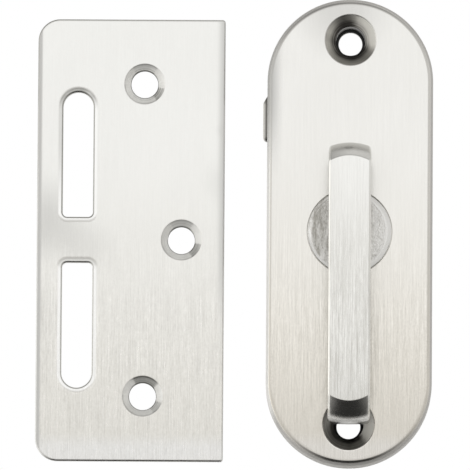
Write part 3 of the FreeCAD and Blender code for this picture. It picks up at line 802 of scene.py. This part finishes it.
def makeRoseDisc():
    v = roseValues
    low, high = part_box("rose_disc")
    radius, front, back = high.x / mm, low.y / mm, high.y / mm
    bore, wide = v["bore"], v["rimWidth"]
    skin = Skin()
    inward = radius - wide - lap
    corners = [(bore, front), (bore, back), (radius, back), (radius, front + v["rimDepth"], v["edgeRound"]),
               (radius - wide, front, v["rimRound"]), (inward, front)]
    rings = np.stack([np.linspace(inward - 0.05, bore, v["rings"]), np.full(v["rings"], front)], 1)
    rim = np.concatenate([roundLine(corners, 5, closed=False), rings])
    disc = lathe(rim, v["turnPoints"])
    # Noise digs shallow pits into the face and hardly raises it.
    face = (rim[:, 1] == front) & (rim[:, 0] < inward) & (rim[:, 0] > bore + 0.1)
    disc[face, :, 1] += v["unevenness"] * np.maximum(castNoise(disc[face, :, 0], disc[face, :, 2]) + 0.2, -0.2)
    skin.grid(disc)
    paint = castSteel("castRose", v["finish"], radius - wide)
    skin.make("roseDisc", "handle_and_claw", paint, ["rose_disc"])


# Bow handle

gripValues = {
    "width": 11.3, "top": 23.0, "bottom": 52.1, "height": 20.0,
    "barThickness": 4.5, "legThickness": 4.5,
    "bendDepth": 10.1, "topInset": 4.4, "bottomInset": 4.9,
    "crown": 1.1, "tipCrown": 0.25, "tipGap": 0.6,
    "chamfer": 0.5, "innerRound": 0.3, "bevel": 0.12,
    "stem": 5.0, "stemFlare": 0.65, "stemFlareLength": 2.0, "flareRound": 1.5, "stemRound": 0.3,
    "stemBore": 3.02, "stemBoreDepth": 10.4,
    "acrossPoints": 17, "bendPoints": 16, "flatPoints": 24, "legPoints": 8, "stemPoints": 64,
    "tipFrom": (15.4, 12.0),  # mm in front of the case, between which the lower tip's painted highlight starts
    "tipTo": (5.5, 3.0),  # and ends again
    "endFrom": (6.4, 5.4),  # between which the painted shadow at its end starts
    "finish": {
        "light": (0.91, 0.91, 0.895), "dark": (0.71, 0.705, 0.68), "rough": 0.25, "contrast": 1.05,
        "shares": (0.62, 0.36, 0.14, 0.12), "lowerShade": (0.90, 0.895, 0.88), "lowerShadeRange": (-18.0, 30.0),
        "tipBelow": (-40.0, -30.0),  # mm up z: full, none
        # the tip's painted highlight and the painted shadow at its end
        "tipHighlight": (0.98, 0.98, 0.97), "tipMetal": 0.15, "endShadow": (0.30, 0.30, 0.29),
    },
}


def gripEnd(v, reach, inset, sign):
    # One end of the bow in the plane x = 0, from the tip forward: outer line (y, z, crown) and inner line (y, z).
    # The outer line runs straight, then bends over an arc that draws in by the inset over the bend's depth.
    front = frontY - v["height"]
    tip = frontY - v["tipGap"]
    radius = (v["bendDepth"] ** 2 + inset ** 2) / (2 * inset)
    bendY = front + v["bendDepth"]
    t = np.linspace(0, 1, v["legPoints"] + 1)[:-1]
    a = np.linspace(0, asin(v["bendDepth"] / radius), v["bendPoints"] + 1)
    outY = np.concatenate([tip + (bendY - tip) * t, bendY - radius * np.sin(a)])
    outZ = np.concatenate([np.full(len(t), reach), reach - radius * (1 - np.cos(a))])
    crown = np.concatenate([v["tipCrown"] + (v["crown"] - v["tipCrown"]) * t, v["crown"] / np.cos(a)])
    inner = radius - v["legThickness"]
    barBack = front + v["barThickness"]
    b = np.linspace(0, pi / 2, v["bendPoints"] + 1)
    inY = np.concatenate([tip + (barBack + inner - tip) * t, barBack + inner - inner * np.sin(b)])
    inZ = np.concatenate([np.full(len(t), reach - v["legThickness"]),
                          reach - v["legThickness"] - inner * (1 - np.cos(b))])
    return np.stack([outY, sign * outZ, sign * crown], 1), np.stack([inY, sign * inZ], 1)


def offsets(line):
    # For each point of a line the vector to a parallel line one unit to its left:
    # the sum of its two sides' normals over one plus their dot product.
    step = np.diff(line, axis=0)
    normal = np.stack([-step[:, 1], step[:, 0]], 1) / np.linalg.norm(step, axis=1)[:, None]
    before = np.concatenate([normal[:1], normal])
    after = np.concatenate([normal, normal[-1:]])
    return (before + after) / (1 + (before * after).sum(1))[:, None]


def makeGripBar():
    v = gripValues
    half, c, r = v["width"] / 2, v["chamfer"], v["innerRound"]
    outTop, inTop = gripEnd(v, v["top"], v["topInset"], 1)
    outLow, inLow = gripEnd(v, v["bottom"], v["bottomInset"], -1)
    t = np.linspace(0, 1, v["flatPoints"] + 1)[1:-1, None]
    outer = np.concatenate([outTop, outTop[-1] + (outLow[-1] - outTop[-1]) * t, outLow[::-1]])
    inner = np.concatenate([inTop, inTop[-1] + (inLow[-1] - inTop[-1]) * t, inLow[::-1]])
    # The crowned ends fall away towards the sides as the square of the distance from the middle.
    across = np.linspace(-1, 1, v["acrossPoints"]) * (half - c)
    fall = (across / half) ** 2
    face = onGrid(across, outer[:, 0, None], outer[:, 1, None] - outer[:, 2, None] * fall)
    side = outer[:, :2] - np.stack([np.zeros(len(outer)), outer[:, 2]], 1)
    sideIn = side + offsets(side) * c
    innerIn = inner - offsets(inner) * r

    def atX(x, line):
        return onGrid(x, line[:, 0, None], line[:, 1, None])

    loop = np.concatenate([face, atX(half, sideIn), atX(half, innerIn), atX(half - r, inner),
                           atX(r - half, inner), atX(-half, innerIn), atX(-half, sideIn)], 1)
    skin = Skin()
    skin.grid(loop)
    bore, flare = v["stemBore"], v["stemFlare"]
    barBack = frontY - v["height"] + v["barThickness"]
    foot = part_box("rose_disc")[0].y / mm
    # The stem's line from inside the bar, out over its flare, down to the rose and up its bore.
    axis = 0.02
    corners = [(axis, barBack - 1), (v["stem"] + flare, barBack - 1), (v["stem"] + flare, barBack),
               (v["stem"], barBack + v["stemFlareLength"], v["flareRound"]), (v["stem"], foot, v["stemRound"]),
               (bore, foot), (bore, foot - v["stemBoreDepth"]), (axis, foot - v["stemBoreDepth"])]
    skin.grid(lathe(roundLine(corners, 6, closed=False), v["stemPoints"]))
    depths = ([frontY - above for above in v[key]] for key in ("tipFrom", "tipTo", "endFrom"))
    paint = bowSteel("gripSteel", v["finish"], *depths)
    skin.make("gripBar", "handle_and_claw", paint, ["grip_bar"], v["bevel"])


# Claw

clawValues = {
    "outer": 43.5, "inner": 33.1, "right": 20.0, "shoulderRound": 2.0,
    "tipX": -23.5, "tipRound": 1.2, "slant": (1.3, 1.45), "slantRound": (0.25, 0.8),
    "notchSide": -7.55, "notchFloor": 22.0, "mouthRound": 1.5,
    "hubFlat": 7.5, "hubTurn": 8.7, "hubBlend": 14.0,
    "square": 3.55, "squareRound": 0.2, "holeEdge": 0.1,
    "edge": 0.3, "frontEdge": 0.9,
    "finish": {
        "light": (0.74, 0.73, 0.71), "dark": (0.54, 0.53, 0.51), "rough": 0.30,
        "gapShade": (0.11, 0.105, 0.095), "gapShadeShare": 0.94,
        "gapShadeFrom": (-23.4, -22.5),  # mm across, over which the painted shade beside the window thickens
        "gapShadeTo": (-21.4, -19.6),  # and thins again
    },
}


def above(x, radius):
    # How high a circle about the spindle is at x.
    return sqrt(radius ** 2 - x ** 2)


def angleAt(x, z):
    return degrees(atan2(z, x)) % 360


def makeClaw():
    v = clawValues
    low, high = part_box("claw")
    front, back = low.y / mm, high.y / mm
    slantX = v["tipX"] + v["slant"][0]
    ring, mouth = (arcPoints(0, 0, v[key], *(angleAt(x, above(x, v[key])) for x in ends), count)[1:-1]
                   for key, ends, count in (("outer", (v["right"], slantX), 20),
                                            ("inner", (v["tipX"], v["notchSide"]), 9)))
    flat, corner = v["hubFlat"], above(v["hubFlat"], v["hubTurn"])
    hub = arcPoints(0, 0, v["hubTurn"], angleAt(-flat, -corner), angleAt(-corner, -flat), 8)
    blendX, blendZ = v["right"] - v["hubBlend"], v["hubBlend"] - v["hubFlat"]
    blend = arcPoints(blendX, blendZ, v["hubBlend"], -90, 0, 16)
    corners = [(v["right"], above(v["right"], v["outer"]), v["shoulderRound"]), *ring.tolist(),
               (slantX, above(slantX, v["outer"]), v["slantRound"][0]),
               (v["tipX"], above(v["tipX"], v["outer"]) - v["slant"][1], v["slantRound"][1]),
               (v["tipX"], above(v["tipX"], v["inner"]), v["tipRound"]), *mouth.tolist(),
               (v["notchSide"], above(v["notchSide"], v["inner"]), v["mouthRound"]),
               (v["notchSide"], v["notchFloor"], v["mouthRound"]),
               (-v["hubFlat"] - 0.01, v["notchFloor"] - 0.3), *hub.tolist(), *blend.tolist()]
    skin = Skin()
    edge = [(-2 * edgeLap, back), (0, back, v["edge"]), (0, front, v["frontEdge"]), (-2 * edgeLap, front)]
    skin.sweep(roundLine(corners, 8), edge, 5)
    s = v["square"]
    hole = [(lap, back), (0, back, v["holeEdge"]), (0, front, v["holeEdge"]), (lap, front)]
    skin.sweep(roundBox(-s, s, -s, s, v["squareRound"], 4), hole, 4)
    paint = gapShadedSteel("clawSteel", v["finish"])
    skin.make("clawArm", "handle_and_claw", paint, ["claw"])


makeStrikePlate()
makeCaseShell()
makeBasePlate()
makeRoseDisc()
makeGripBar()
makeClaw()


# Finishes of the inner pieces, which keep the frame's shapes

innerFinishes = {
    "machinedSteel": (["spindle", "stem_pin"], (0.76, 0.75, 0.73), (0.52, 0.51, 0.50), 0.30),
    "springSteel": (["detent_leaf_spring", "disc_spring", "spring_washer"], (0.46, 0.47, 0.50), (0.26, 0.27, 0.30),
                    0.34),
    "washerZinc": (["flat_washer"], (0.80, 0.80, 0.79), (0.58, 0.58, 0.57), 0.32),
    "screwZinc": (["claw_screw", "base_screw_upper_left", "base_screw_upper_right", "base_screw_lower_left",
                   "base_screw_lower_right"], (0.78, 0.78, 0.76), (0.54, 0.54, 0.53), 0.28),
}


bushValues = {
    "light": (0.86, 0.84, 0.78), "dark": (0.76, 0.74, 0.67), "cloudRate": 0.12,
    "rough": 0.46, "grainRate": 1.4, "grainGloss": 0.18, "grainDepth": 0.02,
    "glow": 0.15, "glowDepth": 0.4,  # share, mm
}


def nylonPlastic(name, v):
    # Faintly clouded plastic that glows a little from inside.
    paint = Paint(name)
    grain = paint.noise(v["grainRate"], 3, 0.6)
    colour = paint.mix(paint.noise(v["cloudRate"]), v["dark"], v["light"])
    return paint.finish(colour, v["rough"] + (grain - 0.5) * v["grainGloss"], paint.bump(grain, v["grainDepth"]),
                        **{"Subsurface Weight": v["glow"], "Subsurface Scale": v["glowDepth"] * mm})


def dress(name, material):
    mesh = nodes[name].data
    mesh.materials.clear()
    mesh.materials.append(material)


for finishName, (names, *look) in innerFinishes.items():
    finish = turnedSteel(finishName, *look)
    for name in names:
        dress(name, finish)
dress("spindle_bush", nylonPlastic("naturalNylon", bushValues))
print("inner pieces dressed")


# Studio: pale floor far below, white world, soft light

studioValues = {
    "floorDrop": 3.5,  # m below the part
    "floorSize": 60.0,
    "floorDark": (0.93, 0.93, 0.93), "floorLight": (0.96, 0.96, 0.96), "floorRough": 0.9,
    "front": 0.735,  # brightness of the room in front
    "frontHigh": 0.10,  # its middle, as the sine of the height it is seen at
    "frontWide": 0.78,  # its height over its width
    "frontEdge": (0.55, 0.85),
    "frontEnds": (-0.35, 0.0),  # where it and the near ring give way to the far ring, 0 level with the part
    "behind": 0.95,  # brightness of what is behind, and where it starts, in degrees from the front
    "behindEdge": (138.0, 158.0),
    "rings": (  # place clockwise from straight above as the camera sees it, brightness of the near and far ring
        (0, 0.3, 0.7), (0.06, 0.32, 0.66), (0.125, 0.44, 0.6), (0.2, 0.62, 0.8), (0.25, 0.66, 0.85),
        (0.32, 0.56, 0.66), (0.4, 0.26, 0.32), (0.45, 0.03, 0.03), (0.55, 0.03, 0.03), (0.6, 0.3, 0.5),
        (0.66, 0.7, 1.1), (0.75, 0.98, 1.6), (0.81, 0.84, 1.1), (0.86, 0.34, 0.36), (0.93, 0.26, 0.44),
        (1, 0.3, 0.7)),
    "warmth": (1.0, 0.985, 0.955),
    "backdrop": (1.0, 1.0, 1.0),  # what the camera itself sees
    "softbox": {"place": (-0.10, -0.50, 0.095), "size": (0.90, 0.20), "power": 0.235, "colour": (0.98, 1.0, 1.03)},
}


def makeStudio():
    v = studioValues
    mesh = bpy.data.meshes.new("floor")
    s = v["floorSize"] / 2
    z = -v["floorDrop"]
    mesh.from_pydata([(-s, -s, z), (s, -s, z), (s, s, z), (-s, s, z)], [], [(0, 1, 2, 3)])
    floor = addObject("floor", mesh)
    paint = Paint("paleFloor")
    cloud = paint.noise(0.001)
    colour = paint.mix(cloud, v["floorDark"], v["floorLight"])
    mesh.materials.append(paint.finish(colour, v["floorRough"] + cloud * 0.05))
    floor.visible_glossy = False

    world = bpy.data.worlds.new("studio")
    world.use_nodes = True
    bpy.context.scene.world = world
    paint = Paint("studio", world.node_tree)
    way = paint.node("ShaderNodeTexCoord", output=0)
    x, y, z = (paint.node("ShaderNodeSeparateXYZ", {}, {0: way}, k) for k in range(3))
    turn = 0.5 - x.maths("ARCTAN2", z * -1.0) / (2 * pi)
    near, far = (paint.node("ShaderNodeValToRGB", {"stops": [(stop[0], stop[k]) for stop in v["rings"]]},
                            {"Fac": turn}) for k in (1, 2))
    wide, high = x * v["frontWide"], z - v["frontHigh"]
    aside = (wide * wide + high * high).root().fade(*v["frontEdge"])
    room = paint.mix(aside, (v["front"],) * 3, near)
    room = paint.mix(y.fade(*v["frontEnds"]), room, far)
    starts, full = (-cos(radians(angle)) for angle in v["behindEdge"])
    room = paint.mix(y.fade(starts, full), room, (v["behind"],) * 3)
    seen = paint.node("ShaderNodeLightPath", output=0)
    shown = paint.mix(seen, paint.times(room, v["warmth"]), v["backdrop"])
    back = paint.node("ShaderNodeBackground", {}, {"Color": shown, "Strength": 1.0})
    paint.node("ShaderNodeOutputWorld", {}, {"Surface": back})


def makeSoftbox():
    # A soft box in front and above, near enough to brighten the upper half more than the lower.
    v = studioValues["softbox"]
    lamp = bpy.data.lights.new("softbox", "AREA")
    lamp.shape = "RECTANGLE"
    lamp.size, lamp.size_y = v["size"]
    lamp.energy = v["power"]
    lamp.color = v["colour"]
    box = addObject("softbox", lamp)
    place = Vector(v["place"])
    box.matrix_world = Matrix.Translation(place) @ Vector((0, -1, 0)).to_track_quat("Z", "Y").to_matrix().to_4x4()
    box.visible_camera = False


makeStudio()
makeSoftbox()
bpy.context.scene.view_settings.view_transform = "Standard"

cameraValues = {
    "target": (-30.84, -12.0, -1.09),  # mm
    "distance": 2.4,  # m
    "below": 5.61,  # degrees
    "aside": -0.59,
    "roll": 0.384,
    "pixelsPerMm": 3.7133,
    "frame": 470,
    "sensor": 36.0,  # mm
    "clip": (0.1, 100.0),  # m
}


def makeCamera():
    v = cameraValues
    pitch, yaw, roll = (radians(v[k]) for k in ("below", "aside", "roll"))
    forward = Vector((sin(yaw) * cos(pitch), cos(yaw) * cos(pitch), sin(pitch)))
    right = Vector((cos(yaw), -sin(yaw), 0))
    up = right.cross(forward)
    right, up = cos(roll) * right + sin(roll) * up, -sin(roll) * right + cos(roll) * up
    place = Vector(v["target"]) * mm - forward * v["distance"]
    data = bpy.data.cameras.new("camera")
    data.sensor_width = v["sensor"]
    data.lens = v["pixelsPerMm"] * v["distance"] / mm / v["frame"] * data.sensor_width
    data.clip_start, data.clip_end = v["clip"]
    camera = addObject("camera", data)
    turn = Matrix((right, up, -forward)).transposed().to_4x4()
    camera.matrix_world = Matrix.Translation(place) @ turn
    bpy.context.scene.camera = camera


makeCamera()
print("studio and camera ready")
